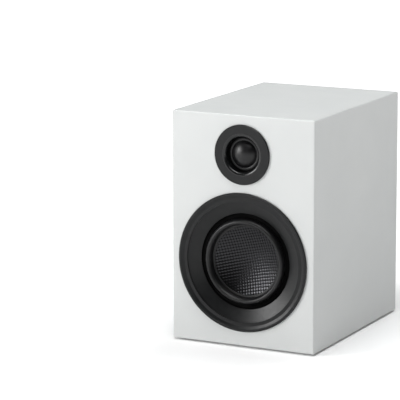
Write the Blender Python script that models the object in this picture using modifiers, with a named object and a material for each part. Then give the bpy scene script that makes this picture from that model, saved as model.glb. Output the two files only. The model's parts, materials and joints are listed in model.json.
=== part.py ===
"""A compact two-way bookshelf speaker, built as the assembly that comes apart on a bench.

Lengths are in millimetres and become metres in the helpers. The speaker stands on its four pads at z = 0,
centred on its footprint, and its front faces -Y. A depth is measured inwards from the face that carries
the piece: from the front baffle's face for the drivers, and from the rear panel's face for the rear parts.
"""

import math

import bmesh
import bpy
from mathutils import Matrix, Vector

MM = 0.001
GAP = 0.3  # between neighbours, so that no two pieces share a surface

# Cabinet
WIDTH = 120.0
DEPTH = 160.0
HEIGHT = 179.0
EDGE_RADIUS = 1.2
WALL = 12.0
BAFFLE = 18.0
FOOT_HEIGHT = 1.2
FOOT_RADIUS = 6.0
FOOT_INSET = 13.0
BRACE_DEPTH = 70.0
BRACE_THICKNESS = 9.0

# Drivers: heights of their axes over the cabinet's underside, and the sizes that set the rest
WOOFER_HEIGHT = 65.4
WOOFER_TRIM_RADIUS = 54.1
WOOFER_MOUTH_RADIUS = 37.2
WOOFER_FLANGE_RADIUS = 46.8
WOOFER_FLANGE_DEPTH = 7.5
WOOFER_SCREW_CIRCLE = 42.6
ROLL_MIDDLE = 30.85
ROLL_HALF_WIDTH = 2.45
ROLL_HEIGHT = 5.3
ROLL_FOOT_DEPTH = 6.5
CONE_RADIUS = 27.3
CONE_RIM_DEPTH = 7.3
CONE_BOWL = 6.0
CONE_THICKNESS = 0.8
TWEETER_HEIGHT = 148.8
TWEETER_TRIM_RADIUS = 23.1
TWEETER_THROAT_RADIUS = 12.4
TWEETER_FLANGE_DEPTH = 4.2
TWEETER_SCREW_CIRCLE = 19.0
DOME_RADIUS = 9.5
DOME_RISE = 4.4
DOME_FOOT_DEPTH = 3.8
FRONT_PROUD = 1.5

# Rear
PORT_HEIGHT = 128.0
PORT_RADIUS = 12.5
PORT_LENGTH = 66.0
CUP_HEIGHT = 44.0
CUP_INSIDE = (52.0, 34.0)
CUP_WALL = 2.0
CUP_FLOOR_DEPTH = 11.5
CUP_FLANGE = (66.0, 48.0)
CUP_FLANGE_THICKNESS = 2.5
POST_SPACING = 24.0
KNOB_RADIUS = 6.4
KNOB_LENGTH = 13.0
KNOB_FOOT_DEPTH = 7.9
KNOB_PROUD = KNOB_LENGTH - KNOB_FOOT_DEPTH

# Places that follow from the sizes
FLOOR = FOOT_HEIGHT + GAP
TOP = FLOOR + HEIGHT
FRONT_Y = FRONT_PROUD - (FRONT_PROUD + DEPTH + KNOB_PROUD) / 2
REAR_Y = FRONT_Y + DEPTH
WOOFER_Z = FLOOR + WOOFER_HEIGHT
TWEETER_Z = FLOOR + TWEETER_HEIGHT
PORT_Z = FLOOR + PORT_HEIGHT
CUP_Z = FLOOR + CUP_HEIGHT

FINE, MIDDLE, COARSE, SMALL = 28, 20, 16, 8  # facets round a turned piece, in fours so that neighbours line up

PALETTE = {  # base colour, roughness, metallic
    "white_lacquer": ((0.80, 0.81, 0.80), 0.35, 0.0),
    "black_moulding": ((0.025, 0.026, 0.027), 0.45, 0.0),
    "woven_carbon": ((0.05, 0.05, 0.055), 0.30, 0.1),
    "black_rubber": ((0.015, 0.015, 0.016), 0.55, 0.0),
    "silk_dome": ((0.02, 0.02, 0.022), 0.35, 0.0),
    "spider_cloth": ((0.45, 0.28, 0.08), 0.85, 0.0),
    "black_steel": ((0.03, 0.03, 0.03), 0.50, 0.6),
    "zinc_steel": ((0.55, 0.56, 0.58), 0.35, 1.0),
    "ferrite": ((0.07, 0.07, 0.075), 0.60, 0.2),
    "coil_former": ((0.55, 0.40, 0.18), 0.50, 0.0),
    "copper_wire": ((0.72, 0.35, 0.16), 0.35, 1.0),
    "gold_plate": ((0.83, 0.62, 0.25), 0.25, 1.0),
    "red_plastic": ((0.55, 0.02, 0.02), 0.35, 0.0),
    "circuit_board": ((0.03, 0.17, 0.07), 0.45, 0.0),
    "capacitor_film": ((0.42, 0.33, 0.05), 0.35, 0.0),
    "cement": ((0.75, 0.74, 0.70), 0.80, 0.0),
    "damping_wool": ((0.55, 0.55, 0.53), 0.95, 0.0),
    "cable_jacket": ((0.06, 0.06, 0.06), 0.50, 0.0),
}


# ---------------------------------------------------------------- scene, materials and helpers


def clear_scene():
    for obj in list(bpy.data.objects):
        bpy.data.objects.remove(obj, do_unlink=True)


def new_collection(name):
    collection = bpy.data.collections.new(name)
    bpy.context.scene.collection.children.link(collection)
    return collection


def make_materials():
    for name, (colour, roughness, metallic) in PALETTE.items():
        material = bpy.data.materials.new(name)
        material.use_nodes = True
        shader = material.node_tree.nodes["Principled BSDF"]
        shader.inputs["Base Color"].default_value = (*colour, 1.0)
        shader.inputs["Roughness"].default_value = roughness
        shader.inputs["Metallic"].default_value = metallic


def axis_empty(name, x, y, z, rear=False):
    """An empty that faces out of the front or the rear: seen from outside, its X runs to the right and its
    Y up, and its Z points at the viewer."""
    empty = bpy.data.objects.new(name, None)
    empty.location = Vector((x, y, z)) * MM
    empty.rotation_euler = (math.pi / 2, 0, math.pi if rear else 0)
    empty.empty_display_size = 0.02
    speaker.objects.link(empty)
    return empty


def add(name, data, material=None, parent=None, place=(0, 0, 0), helper=False):
    """Links an object. A helper is a cutter, which isn't a part of the speaker."""
    obj = bpy.data.objects.new(name, data)
    obj.location = Vector(place) * MM
    obj.parent = parent
    (cutters if helper else speaker).objects.link(obj)
    if helper:
        obj.hide_render = True
        obj.display_type = "WIRE"
    else:
        data.materials.append(bpy.data.materials[material])
    return obj


def smooth_round_faces(mesh):
    mesh.shade_smooth()
    mesh.set_sharp_from_angle(angle=math.radians(35))


def box(name, size, place, material=None, parent=None, bevel=0.0, helper=False):
    """A box of size (x, y, z) centred on place, with its edges bevelled."""
    shape = bmesh.new()
    bmesh.ops.create_cube(shape, size=1.0, matrix=Matrix.Diagonal((*(Vector(size) * MM), 1)))
    mesh = bpy.data.meshes.new(name)
    shape.to_mesh(mesh)
    shape.free()
    obj = add(name, mesh, material, parent, place, helper)
    if bevel:
        rounding = obj.modifiers.new("edges", "BEVEL")
        rounding.width = bevel * MM
        rounding.segments = 2
    return obj


def cylinder(name, radius, length, place, parent=None, material=None, facets=SMALL, helper=True):
    """A cylinder along its parent's local Z, centred on place."""
    shape = bmesh.new()
    bmesh.ops.create_cone(
        shape, cap_ends=True, segments=facets, radius1=radius * MM, radius2=radius * MM, depth=length * MM
    )
    mesh = bpy.data.meshes.new(name)
    shape.to_mesh(mesh)
    shape.free()
    smooth_round_faces(mesh)
    return add(name, mesh, material, parent, place, helper)


def turned(name, profile, material, parent, facets, place=(0, 0, 0), wall=0.0):
    """A turned piece from (radius, depth) points. With a wall it is an open sheet of that thickness;
    without one the points are a closed outline, or a chain that starts and ends on the axis."""
    points = [(radius * MM, -depth * MM) for radius, depth in profile]
    ring = list(zip(points, points[1:] + points[:1]))
    twice_area = sum(a[0] * b[1] - b[0] * a[1] for a, b in ring)
    if twice_area > 0 and not wall:
        points.reverse()  # the outer side has to run down for the faces to point out
    on_axis = points[0][0] == 0 and points[-1][0] == 0
    edges = [(i, i + 1) for i in range(len(points) - 1)]
    if not wall and not on_axis:
        edges.append((len(points) - 1, 0))
    mesh = bpy.data.meshes.new(name)
    mesh.from_pydata([(x, 0, z) for x, z in points], edges, [])
    obj = add(name, mesh, material, parent, place)
    screw = obj.modifiers.new("turn", "SCREW")
    screw.steps = screw.render_steps = facets
    screw.use_merge_vertices = True
    screw.merge_threshold = 0.00001
    screw.use_smooth_shade = True
    if wall:
        shell = obj.modifiers.new("wall", "SOLIDIFY")
        shell.thickness = wall * MM
        shell.offset = 0
    return obj


def flat_outline(name, loops, thickness, material, parent, place):
    """A plate whose outline and holes are loops of (x, y) in the parent's plane, centred on place."""
    curve = bpy.data.curves.new(name, "CURVE")
    curve.dimensions = "2D"
    curve.fill_mode = "BOTH"
    curve.extrude = thickness / 2 * MM
    for loop in loops:
        spline = curve.splines.new("POLY")
        spline.points.add(len(loop) - 1)
        for point, (x, y) in zip(spline.points, loop):
            point.co = (x * MM, y * MM, 0, 1)
        spline.use_cyclic_u = True
    return add(name, curve, material, parent, place)


def as_mesh(curve_object, helper=False):
    """The same object as a mesh with its caps welded, which a Boolean can read."""
    bpy.context.view_layer.update()
    graph = bpy.context.evaluated_depsgraph_get()
    mesh = bpy.data.meshes.new_from_object(curve_object.evaluated_get(graph))
    shape = bmesh.new()
    shape.from_mesh(mesh)
    bmesh.ops.remove_doubles(shape, verts=shape.verts, dist=1e-6)
    shape.to_mesh(mesh)
    shape.free()
    name, parent, place = curve_object.name, curve_object.parent, curve_object.location / MM
    material = curve_object.data.materials[0].name if curve_object.data.materials else None
    bpy.data.objects.remove(curve_object, do_unlink=True)
    mesh.materials.clear()
    return add(name, mesh, material, parent, place, helper)


def plate(name, loops, thickness, material, parent, place):
    return as_mesh(flat_outline(name, loops, thickness, material, parent, place))


def plate_cutter(name, loops, thickness, parent, place):
    return as_mesh(flat_outline(name, loops, thickness, "black_moulding", parent, place), helper=True)


def combine(obj, other, operation="DIFFERENCE"):
    boolean = obj.modifiers.new(f"{operation.lower()} {other.name}", "BOOLEAN")
    boolean.operation = operation
    boolean.object = other
    return obj


def circle(radius, count, middle=(0, 0)):
    turns = [2 * math.pi * i / count for i in range(count)]
    return [(middle[0] + radius * math.cos(t), middle[1] + radius * math.sin(t)) for t in turns]


def rounded_rectangle(width, height, radius, middle=(0, 0), per_corner=4):
    points = []
    for corner, (side_x, side_y) in enumerate(((1, 1), (-1, 1), (-1, -1), (1, -1))):
        for step in range(per_corner + 1):
            turn = math.pi / 2 * (corner + step / per_corner)
            points.append(
                (
                    middle[0] + side_x * (width / 2 - radius) + radius * math.cos(turn),
                    middle[1] + side_y * (height / 2 - radius) + radius * math.sin(turn),
                )
            )
    return points


def on_circle(radius, count, first_turn):
    """(x, y) of count places spread evenly on a circle, the first at first_turn degrees."""
    turns = [math.radians(first_turn + 360 * i / count) for i in range(count)]
    return [(radius * math.cos(t), radius * math.sin(t)) for t in turns]


def screw(name, parent, x, y, seat_depth, head_radius, length):
    """A pan-head screw whose head rests on seat_depth."""
    shank_radius = 1.3
    head_top = seat_depth - GAP - 1.4
    profile = [
        (0, head_top),
        (head_radius * 0.7, head_top),
        (head_radius, head_top + 0.6),
        (head_radius, seat_depth - GAP),
        (shank_radius, seat_depth - GAP),
        (shank_radius, seat_depth + length - 1.5),
        (0, seat_depth + length),
    ]
    return turned(name, profile, "zinc_steel", parent, SMALL, (x, y, 0))


# ---------------------------------------------------------------- cabinet


def cabinet_envelope():
    """The outside of the closed cabinet, with its edges rounded. Each board is what it shares with it."""
    middle = (0, FRONT_Y + DEPTH / 2, FLOOR + HEIGHT / 2)
    envelope = box("cabinet_envelope", (WIDTH, DEPTH, HEIGHT), middle, helper=True)
    rounding = envelope.modifiers.new("edges", "BEVEL")
    rounding.width = EDGE_RADIUS * MM
    rounding.segments = 3
    return envelope


def wrap_board(name, span, side, envelope):
    """One of the four mitred boards behind the baffle. side is its outward direction, (x, z), and span the
    cabinet's size across it. The blank stands 1 mm past the envelope, which trims it."""
    over = 1.0
    first, last = FRONT_Y + BAFFLE + GAP, REAR_Y + over
    mitre_gap = GAP / 2 * math.sqrt(2)
    outer, inner = span / 2 + over - mitre_gap, span / 2 - WALL - mitre_gap
    reach = (WIDTH if side[0] else HEIGHT) / 2
    shape = bmesh.new()
    bmesh.ops.create_cube(shape, size=2.0)
    for vertex in shape.verts:
        across, along, out = vertex.co
        half = outer if out > 0 else inner
        away = reach + over if out > 0 else reach - WALL
        x = side[0] * away + side[1] * across * half
        z = side[1] * away - side[0] * across * half
        y = last if along > 0 else first
        vertex.co = Vector((x, y, z + FLOOR + HEIGHT / 2)) * MM
    bmesh.ops.recalc_face_normals(shape, faces=shape.faces)
    mesh = bpy.data.meshes.new(name)
    shape.to_mesh(mesh)
    shape.free()
    return combine(add(name, mesh, "white_lacquer"), envelope, "INTERSECT")


def make_front_baffle(envelope, woofer, tweeter):
    over = 1.0
    size = (WIDTH + 2 * over, BAFFLE + over, HEIGHT + 2 * over)
    place = (0, FRONT_Y + (BAFFLE - over) / 2, FLOOR + HEIGHT / 2)
    baffle = combine(box("front_baffle", size, place, "white_lacquer"), envelope, "INTERSECT")
    rebates = (
        (woofer, "woofer", WOOFER_FLANGE_RADIUS + 0.7, WOOFER_FLANGE_DEPTH + 4.0, 39.0, FINE),
        (tweeter, "tweeter", 21.9, 6.5, 17.5, MIDDLE),
    )
    for axis, name, radius, depth, hole, facets in rebates:
        rebate = cylinder(f"{name}_rebate", radius, 2 * depth, (0, 0, 0), axis, facets=facets)
        through = cylinder(f"{name}_hole", hole, 3 * BAFFLE, (0, 0, -BAFFLE), axis, facets=facets)
        combine(combine(baffle, rebate), through)
    pilots = [(woofer, p, 17.0) for p in on_circle(WOOFER_SCREW_CIRCLE, 4, 45)]
    pilots += [(tweeter, p, 16.0) for p in on_circle(TWEETER_SCREW_CIRCLE, 2, 0)]
    for index, (axis, (x, y), end) in enumerate(pilots):
        start = 5.0
        pilot = cylinder(f"pilot_{index}", 1.7, end - start, (x, y, -(start + end) / 2), axis)
        combine(baffle, pilot)
    return baffle


def make_rear_panel(envelope, rear, port):
    over = 1.0
    size = (WIDTH - 2 * WALL - 2 * GAP, WALL + over, HEIGHT - 2 * WALL - 2 * GAP)
    place = (0, REAR_Y - (WALL - over) / 2, FLOOR + HEIGHT / 2)
    panel = combine(box("rear_panel", size, place, "white_lacquer"), envelope, "INTERSECT")
    port_hole = cylinder("port_hole", PORT_RADIUS + 2.3, 3 * WALL, (0, 0, -WALL), port, facets=MIDDLE)
    outside = [side + 2 * CUP_WALL + 1.0 for side in CUP_INSIDE]
    cup_hole = plate_cutter("cup_hole", [rounded_rectangle(*outside, 6.5)], 3 * WALL, rear, (0, 0, -WALL))
    combine(combine(panel, port_hole), cup_hole)
    for index, (x, y) in enumerate(cup_screw_places()):
        combine(panel, cylinder(f"cup_pilot_{index}", 1.6, 20.0, (x, y, 0), rear))
    return panel


def make_brace():
    axis = axis_empty("brace_axis", 0, FRONT_Y + BRACE_DEPTH + BRACE_THICKNESS / 2, FLOOR + HEIGHT / 2)
    inside = (WIDTH - 2 * WALL - 2 * GAP, HEIGHT - 2 * WALL - 2 * GAP)
    lower = rounded_rectangle(72, 72, 8, (0, -30), 2)
    upper = rounded_rectangle(72, 48, 8, (0, 42), 2)
    outline = rounded_rectangle(*inside, 1.0, per_corner=1)
    flat_outline("cabinet_brace", [outline, lower, upper], BRACE_THICKNESS, "white_lacquer", axis, (0, 0, 0))


def make_feet():
    for front, row in ((True, "front"), (False, "rear")):
        for side, column in ((-1, "left"), (1, "right")):
            x = side * (WIDTH / 2 - FOOT_INSET)
            y = FRONT_Y + FOOT_INSET if front else REAR_Y - FOOT_INSET
            foot = cylinder(
                f"foot_{row}_{column}",
                FOOT_RADIUS,
                FOOT_HEIGHT,
                (x, y, FOOT_HEIGHT / 2),
                material="black_rubber",
                facets=COARSE,
                helper=False,
            )
            rounding = foot.modifiers.new("edges", "BEVEL")
            rounding.width = 0.25 * MM
            rounding.limit_method = "ANGLE"


def make_damping_pad():
    size = (80.0, 46.0, 12.0)
    place = (0, FRONT_Y + 107, FLOOR + WALL + GAP + size[2] / 2)
    box("damping_pad", size, place, "damping_wool", bevel=3.0)


def make_cabinet(woofer, tweeter, rear, port):
    envelope = cabinet_envelope()
    make_front_baffle(envelope, woofer, tweeter)
    make_rear_panel(envelope, rear, port)
    wrap_board("top_panel", WIDTH, (0, 1), envelope)
    wrap_board("bottom_panel", WIDTH, (0, -1), envelope)
    wrap_board("left_side_panel", HEIGHT, (-1, 0), envelope)
    wrap_board("right_side_panel", HEIGHT, (1, 0), envelope)
    make_brace()
    make_feet()
    make_damping_pad()


# ---------------------------------------------------------------- woofer


def bowl_depth(radius):
    """Depth of the cone's front surface: a bowl that is deepest on the axis."""
    return CONE_RIM_DEPTH + CONE_BOWL * (1 - (radius / CONE_RADIUS) ** 2)


def make_woofer_trim(woofer):
    """The funnel-shaped ring that hides the basket's flange and its screws. A skirt centres it in the rebate."""
    profile = [
        (WOOFER_TRIM_RADIUS, -GAP),
        (WOOFER_TRIM_RADIUS - 0.4, -0.8),
        (WOOFER_TRIM_RADIUS - 1.5, -1.3),
        (51.2, -FRONT_PROUD),
        (50.4, -1.2),
        (WOOFER_MOUTH_RADIUS + 0.6, 4.3),
        (WOOFER_MOUTH_RADIUS, 4.9),
        (WOOFER_MOUTH_RADIUS + 0.3, 5.5),
        (WOOFER_MOUTH_RADIUS + 1.2, 5.8),
        (45.6, 2.8),
        (45.6, 7.0),
        (47.1, 7.0),
        (47.1, -GAP),
    ]
    turned("woofer_trim_ring", profile, "black_moulding", woofer, FINE)


def make_basket(woofer):
    """The pressed frame: a flange in the rebate, six ribs and a seat for the spider and the motor."""
    front = WOOFER_FLANGE_DEPTH
    profile = [
        (WOOFER_FLANGE_RADIUS, front),
        (WOOFER_FLANGE_RADIUS, front + 2.5),
        (38.2, front + 2.5),
        (37.6, 12.5),
        (30.6, 25.5),
        (30.0, 29.2),
        (13.0, 29.2),
        (13.0, 27.4),
        (22.5, 27.4),
        (22.5, 24.0),
        (29.0, 24.0),
        (35.8, 12.0),
        (35.8, front + 2.5),
        (34.0, front + 2.5),
        (34.0, front),
    ]
    basket = turned("woofer_basket", profile, "black_steel", woofer, FINE)
    for index in range(3):
        window = box(f"basket_window_{index}", (120, 18, 9.6), (0, 0, -17.7), parent=woofer, helper=True)
        window.rotation_euler = (0, 0, math.radians(30 + 60 * index))
        combine(basket, window)
    for index, (x, y) in enumerate(on_circle(WOOFER_SCREW_CIRCLE, 4, 45)):
        combine(basket, cylinder(f"flange_hole_{index}", 1.8, 8.0, (x, y, -front), woofer))


def make_woofer_gasket(woofer):
    depth = WOOFER_FLANGE_DEPTH + 2.5 + GAP
    holes = [circle(1.8, 8, middle) for middle in on_circle(WOOFER_SCREW_CIRCLE, 4, 45)]
    loops = [circle(46.6, FINE), circle(39.6, FINE), *holes]
    flat_outline("woofer_gasket", loops, 0.9, "black_rubber", woofer, (0, 0, -depth - 0.45))


def make_surround(woofer):
    """A tall half roll between the basket's lip and the cone's edge, drawn down its middle."""
    turns = [math.pi * i / 4 for i in range(5)]
    roll = [
        (ROLL_MIDDLE + ROLL_HALF_WIDTH * math.cos(t), ROLL_FOOT_DEPTH - ROLL_HEIGHT * math.sin(t)) for t in turns
    ]
    profile = [(39.4, 6.9), (34.0, 6.9), *roll, (CONE_RADIUS - 0.5, 6.7)]
    turned("woofer_surround", profile, "black_rubber", woofer, FINE, wall=0.5)


def make_spider(woofer):
    """The corrugated cloth disc that centres the coil."""
    inner, outer, middle_depth, wave_height, half_waves = 12.0, 24.0, 23.4, 1.0, 5
    step = (outer - inner) / half_waves
    crests = [
        (inner + step * (i + 0.5), middle_depth + wave_height * (-1) ** (i + 1)) for i in range(half_waves)
    ]
    sheet = [(10.6, middle_depth), (inner, middle_depth), *crests, (outer, middle_depth), (28.2, middle_depth)]
    turned("woofer_spider", sheet, "spider_cloth", woofer, MIDDLE, wall=0.5)


def make_cone(woofer):
    """One woven bowl with no dust cap, and a narrow rim for the surround's glue."""
    radii = [CONE_RADIUS * i / 5 for i in range(6)]
    front = [(radius, bowl_depth(radius)) for radius in radii] + [(CONE_RADIUS + 1.0, CONE_RIM_DEPTH)]
    back = [(radius, depth + CONE_THICKNESS) for radius, depth in reversed(front)]
    turned("woofer_cone", front + back, "woven_carbon", woofer, FINE)


def make_woofer_motor(woofer):
    former_top = bowl_depth(10.0) + CONE_THICKNESS + GAP + 0.2

    def tube(name, inner, outer, start, end, material, facets=MIDDLE):
        outline = [(outer, start), (outer, end), (inner, end), (inner, start)]
        turned(name, outline, material, woofer, facets)

    tube("woofer_coil_former", 9.7, 10.2, former_top, 36.0, "coil_former")
    tube("woofer_voice_coil", 10.5, 11.0, 28.0, 35.0, "copper_wire")
    tube("woofer_top_plate", 11.6, 27.5, 29.5, 33.5, "zinc_steel")
    tube("woofer_magnet", 14.0, 29.0, 33.8, 43.8, "ferrite")
    yoke = [(27.5, 44.1), (27.5, 48.1), (2.5, 48.1), (2.5, 29.5), (9.2, 29.5), (9.2, 44.1)]
    turned("woofer_yoke", yoke, "zinc_steel", woofer, MIDDLE)


def make_woofer_terminals(woofer):
    """The strip on the basket's side for the lead, with its two tabs. It lies along the slanting wall."""
    lean = math.atan2(7.0, 13.0)
    outline = [(-4, -7), (4, -7), (4, -5.4), (7, -5.4), (7, -2.6), (4, -2.6)]
    outline += [(4, 2.6), (7, 2.6), (7, 5.4), (4, 5.4), (4, 7), (-4, 7)]
    strip = flat_outline("woofer_terminal_strip", [outline], 1.2, "coil_former", woofer, (34.9, 0, -19.45))
    strip.rotation_euler = (0, math.pi / 2 + lean, 0)


def make_woofer(woofer):
    make_woofer_trim(woofer)
    make_basket(woofer)
    make_woofer_gasket(woofer)
    make_surround(woofer)
    make_spider(woofer)
    make_cone(woofer)
    make_woofer_motor(woofer)
    make_woofer_terminals(woofer)
    for index, (x, y) in enumerate(on_circle(WOOFER_SCREW_CIRCLE, 4, 45)):
        screw(f"woofer_screw_{index + 1}", woofer, x, y, WOOFER_FLANGE_DEPTH, 2.4, 9.0)


# ---------------------------------------------------------------- tweeter


def make_tweeter_trim(tweeter):
    """The visible plate: a flat ring with a bevelled edge, and a flared throat round the dome."""
    throat = TWEETER_THROAT_RADIUS
    profile = [
        (TWEETER_TRIM_RADIUS, -GAP),
        (TWEETER_TRIM_RADIUS, -1.0),
        (TWEETER_TRIM_RADIUS - 0.5, -FRONT_PROUD),
        (16.4, -FRONT_PROUD),
        (15.3, -1.1),
        (14.1, -0.1),
        (13.1, 1.3),
        (throat, 3.3),
        (throat + 1.2, 3.3),
        (14.6, 1.3),
        (17.4, -GAP),
    ]
    turned("tweeter_trim_plate", profile, "black_moulding", tweeter, FINE)


def make_tweeter_chassis(tweeter):
    depth = TWEETER_FLANGE_DEPTH
    profile = [
        (21.5, depth),
        (21.5, depth + 2.0),
        (17.2, depth + 2.0),
        (17.2, 14.0),
        (15.2, 14.0),
        (15.2, depth + 2.0),
        (12.3, depth + 2.0),
        (12.3, depth),
    ]
    chassis = turned("tweeter_chassis", profile, "black_moulding", tweeter, MIDDLE)
    for index, (x, y) in enumerate(on_circle(TWEETER_SCREW_CIRCLE, 2, 0)):
        combine(chassis, cylinder(f"chassis_hole_{index}", 1.6, 8.0, (x, y, -depth), tweeter))


def make_dome(tweeter):
    """The soft dome as a shallow cap of a sphere."""
    sphere = (DOME_RADIUS**2 + DOME_RISE**2) / (2 * DOME_RISE)
    half_turn = math.asin(DOME_RADIUS / sphere)
    centre = DOME_FOOT_DEPTH - DOME_RISE + sphere
    turns = [half_turn * i / 5 for i in range(6)]
    outside = [(sphere * math.sin(t), centre - sphere * math.cos(t)) for t in turns]
    inside = [((sphere - 0.5) * math.sin(t), centre - (sphere - 0.5) * math.cos(t)) for t in reversed(turns)]
    turned("tweeter_dome", outside + inside, "silk_dome", tweeter, MIDDLE)


def make_tweeter_motor(tweeter):
    turns = [math.pi * i / 4 for i in range(5)]
    roll = [(10.9 + 0.9 * math.cos(t), 3.75 - 0.8 * math.sin(t)) for t in turns]
    turned("tweeter_surround", [(14.0, 3.75), *roll], "silk_dome", tweeter, MIDDLE, wall=0.25)
    coil = [(10.0, 4.5), (10.0, 8.9), (9.4, 8.9), (9.4, 4.5)]
    turned("tweeter_voice_coil", coil, "copper_wire", tweeter, MIDDLE)
    plate_profile = [(0, 4.9), (8.8, 4.9), (8.8, 6.9), (0, 6.9)]
    turned("tweeter_pole_plate", plate_profile, "zinc_steel", tweeter, MIDDLE)
    magnet = [(0, 7.2), (8.2, 7.2), (8.2, 12.3), (0, 12.3)]
    turned("tweeter_magnet", magnet, "ferrite", tweeter, MIDDLE)
    cup = [(0, 15.6), (14.9, 15.6), (14.9, 6.5), (12.0, 6.5), (12.0, 4.3), (10.7, 4.3), (10.7, 12.6), (0, 12.6)]
    turned("tweeter_yoke", cup, "zinc_steel", tweeter, MIDDLE)


def make_tweeter(tweeter):
    make_tweeter_trim(tweeter)
    make_tweeter_chassis(tweeter)
    make_dome(tweeter)
    make_tweeter_motor(tweeter)
    for index, (x, y) in enumerate(on_circle(TWEETER_SCREW_CIRCLE, 2, 0)):
        screw(f"tweeter_screw_{index + 1}", tweeter, x, y, TWEETER_FLANGE_DEPTH, 2.0, 9.0)


# ---------------------------------------------------------------- rear


def cup_screw_places():
    x, y = CUP_FLANGE[0] / 2 - 3.6, CUP_FLANGE[1] / 2 - 3.6
    return [(x, y), (-x, y), (-x, -y), (x, -y)]


def make_port(port):
    """A straight duct with a flared mouth that lies on the rear panel."""
    turns = [math.pi / 2 * i / 4 for i in range(5)]
    flare = [(PORT_RADIUS + 5.0 * (1 - math.sin(t)), 6.0 - 8.3 * math.cos(t)) for t in turns]
    profile = [(19.0, -GAP), (19.0, -1.5), (18.3, -2.3), *flare]
    profile += [(PORT_RADIUS, PORT_LENGTH), (PORT_RADIUS + 1.8, PORT_LENGTH), (PORT_RADIUS + 1.8, -GAP)]
    turned("reflex_port", profile, "black_moulding", port, MIDDLE)


def make_terminal_cup(rear):
    flange = [rounded_rectangle(*CUP_FLANGE, 7.0)]
    middle = GAP + CUP_FLANGE_THICKNESS / 2
    cup = plate("terminal_cup", flange, CUP_FLANGE_THICKNESS, "black_moulding", rear, (0, 0, middle))
    outside = [side + 2 * CUP_WALL for side in CUP_INSIDE]
    pan_start, pan_end = -1.5, CUP_FLOOR_DEPTH + CUP_WALL
    pan = plate_cutter(
        "cup_pan", [rounded_rectangle(*outside, 6.0)], pan_end - pan_start, rear, (0, 0, -(pan_start + pan_end) / 2)
    )
    hollow_start = -6.0
    hollow = plate_cutter(
        "cup_hollow",
        [rounded_rectangle(*CUP_INSIDE, 4.0)],
        CUP_FLOOR_DEPTH - hollow_start,
        rear,
        (0, 0, -(hollow_start + CUP_FLOOR_DEPTH) / 2),
    )
    combine(combine(cup, pan, "UNION"), hollow)
    for index, (x, y) in enumerate(cup_screw_places()):
        combine(cup, cylinder(f"cup_screw_hole_{index}", 1.7, 12.0, (x, y, 0), rear))
        screw(f"terminal_screw_{index + 1}", rear, x, y, -GAP - CUP_FLANGE_THICKNESS, 2.6, 11.0)
    for index, x in enumerate((-POST_SPACING / 2, POST_SPACING / 2)):
        hole = cylinder(f"post_hole_{index}", 2.4, 8.0, (x, 0, -CUP_FLOOR_DEPTH), rear, facets=SMALL)
        combine(cup, hole)


def knob_outline(flutes=10, per_flute=4):
    """A round outline with shallow finger flutes."""
    count = flutes * per_flute
    turns = [2 * math.pi * i / count for i in range(count)]
    radii = [KNOB_RADIUS - 0.35 * (1 - math.cos(flutes * t)) for t in turns]
    return [(r * math.cos(t), r * math.sin(t)) for r, t in zip(radii, turns)]


def make_binding_post(name, axis, colour):
    """A gold post with a plug socket and a cross hole, its clamp washer, its knob, and the nut behind the cup."""
    seat = CUP_FLOOR_DEPTH - GAP
    stud_end, socket_end, inner_end = -(KNOB_PROUD - 0.6), 6.0, 24.0
    profile = [
        (0, inner_end),
        (2.0, inner_end),
        (2.0, seat),
        (5.4, seat),
        (5.4, seat - 1.5),
        (3.0, seat - 1.5),
        (3.0, stud_end),
        (2.05, stud_end),
        (2.05, socket_end),
        (0, socket_end),
    ]
    post = turned(f"binding_post_{name}", profile, "gold_plate", axis, COARSE)
    wire_hole = cylinder(f"wire_hole_{name}", 1.3, 12.0, (0, 0, -8.2), axis)
    wire_hole.rotation_euler = (math.pi / 2, 0, 0)
    combine(post, wire_hole)
    washer_depth = KNOB_FOOT_DEPTH + GAP
    washer = [(5.2, washer_depth), (5.2, washer_depth + 1.2), (3.4, washer_depth + 1.2), (3.4, washer_depth)]
    turned(f"clamp_washer_{name}", washer, "gold_plate", axis, COARSE)
    flat_outline(
        f"knob_{name}",
        [knob_outline(), circle(3.4, 12)],
        KNOB_LENGTH,
        colour,
        axis,
        (0, 0, KNOB_LENGTH / 2 - KNOB_FOOT_DEPTH),
    )
    nut_start = CUP_FLOOR_DEPTH + CUP_WALL + GAP
    flat_outline(
        f"post_nut_{name}", [circle(4.0, 6), circle(2.4, SMALL)], 2.8, "zinc_steel", axis, (0, 0, -nut_start - 1.4)
    )


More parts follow.
